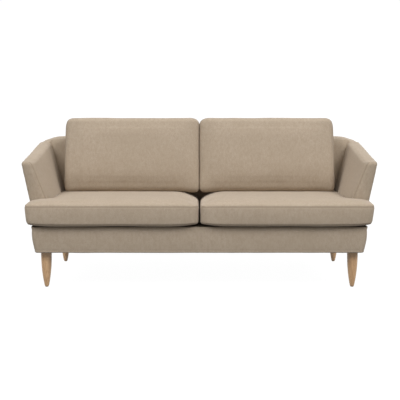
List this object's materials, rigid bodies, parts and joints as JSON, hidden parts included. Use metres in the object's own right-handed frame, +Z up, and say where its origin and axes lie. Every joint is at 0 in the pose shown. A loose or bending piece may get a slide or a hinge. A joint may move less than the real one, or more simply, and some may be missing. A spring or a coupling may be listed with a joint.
{
  "type": "sofa with wooden legs",
  "caption": "Low fabric sofa with leaning padded arms, T-ended seat cushions, loose reclined back cushions and turned, tapered light-oak legs.",
  "frame": {"origin": "on the floor under the middle of the sofa's bounding box", "axes": "+X to the right of a person facing the sofa, +Y towards its back, +Z up"},
  "size_m": [1.8874, 0.8371, 0.8458],
  "materials": {
    "upholstery": "matte",
    "oak": "satin",
    "timber": "matte",
    "plywood": "matte",
    "steel": "satin",
    "glide": "matte",
    "lining": "matte",
    "felt": "matte",
    "foam": "matte",
    "webbing": "matte",
    "zip": "satin"
  },
  "bodies": {
    "frame": {"front_rail": "timber", "rear_rail": "timber", "centre_rail": "timber", "deck_pad": "felt", "dust_cover": "lining", "apron_cover": "upholstery", "spring_clip_strip_front": "steel", "spring_clip_strip_rear": "steel", "back_post_left": "timber", "back_post_centre": "timber", "back_post_right": "timber", "back_top_rail": "timber", "back_strap_1": "webbing", "back_strap_2": "webbing", "back_strap_3": "webbing", "back_cover": "upholstery", "leg_front_left": "oak", "glide_front_left": "glide", "hanger_bolt_front_left": "steel", "corner_block_front_left": "timber", "leg_rear_left": "oak", "glide_rear_left": "glide", "hanger_bolt_rear_left": "steel", "corner_block_rear_left": "timber", "seat_spring_left_1": "steel", "seat_spring_left_2": "steel", "seat_spring_left_3": "steel", "seat_spring_left_4": "steel", "arm_frame_left": "plywood", "arm_cover_left": "upholstery", "leg_front_right": "oak", "glide_front_right": "glide", "hanger_bolt_front_right": "steel", "corner_block_front_right": "timber", "leg_rear_right": "oak", "glide_rear_right": "glide", "hanger_bolt_rear_right": "steel", "corner_block_rear_right": "timber", "seat_spring_right_1": "steel", "seat_spring_right_2": "steel", "seat_spring_right_3": "steel", "seat_spring_right_4": "steel", "arm_frame_right": "plywood", "arm_cover_right": "upholstery"},
    "seat_cushion_left": {"seat_cushion_left_cover": "upholstery", "seat_cushion_core_left": "foam", "seat_cushion_left_zip_chain": "zip"},
    "seat_zip_slider_left": {"seat_cushion_left_zip_slider": "steel"},
    "back_cushion_left": {"back_cushion_left_cover": "upholstery", "back_cushion_filling_left": "foam", "back_cushion_left_zip_chain": "zip"},
    "back_zip_slider_left": {"back_cushion_left_zip_slider": "steel"},
    "seat_cushion_right": {"seat_cushion_right_cover": "upholstery", "seat_cushion_core_right": "foam", "seat_cushion_right_zip_chain": "zip"},
    "seat_zip_slider_right": {"seat_cushion_right_zip_slider": "steel"},
    "back_cushion_right": {"back_cushion_right_cover": "upholstery", "back_cushion_filling_right": "foam", "back_cushion_right_zip_chain": "zip"},
    "back_zip_slider_right": {"back_cushion_right_zip_slider": "steel"}
  },
  "joints": [
    {"name": "seat_cushion_left_out", "type": "slide", "parent": "frame", "child": "seat_cushion_left", "axis": [0, -1, 0], "range_m": [0, 0.62]},
    {"name": "back_cushion_left_off", "type": "slide", "parent": "frame", "child": "back_cushion_left", "axis": [0, 0.2588, 0.9659], "range_m": [0, 0.46]},
    {"name": "seat_zip_left", "type": "slide", "parent": "seat_cushion_left", "child": "seat_zip_slider_left", "axis": [-1, 0, 0], "range_m": [0, 0.486]},
    {"name": "back_zip_left", "type": "slide", "parent": "back_cushion_left", "child": "back_zip_slider_left", "axis": [-1, 0, 0], "range_m": [0, 0.486]},
    {"name": "seat_cushion_right_out", "type": "slide", "parent": "frame", "child": "seat_cushion_right", "axis": [0, -1, 0], "range_m": [0, 0.62]},
    {"name": "back_cushion_right_off", "type": "slide", "parent": "frame", "child": "back_cushion_right", "axis": [0, 0.2588, 0.9659], "range_m": [0, 0.46]},
    {"name": "seat_zip_right", "type": "slide", "parent": "seat_cushion_right", "child": "seat_zip_slider_right", "axis": [1, 0, 0], "range_m": [0, 0.486]},
    {"name": "back_zip_right", "type": "slide", "parent": "back_cushion_right", "child": "back_zip_slider_right", "axis": [1, 0, 0], "range_m": [0, 0.486]}
  ]
}
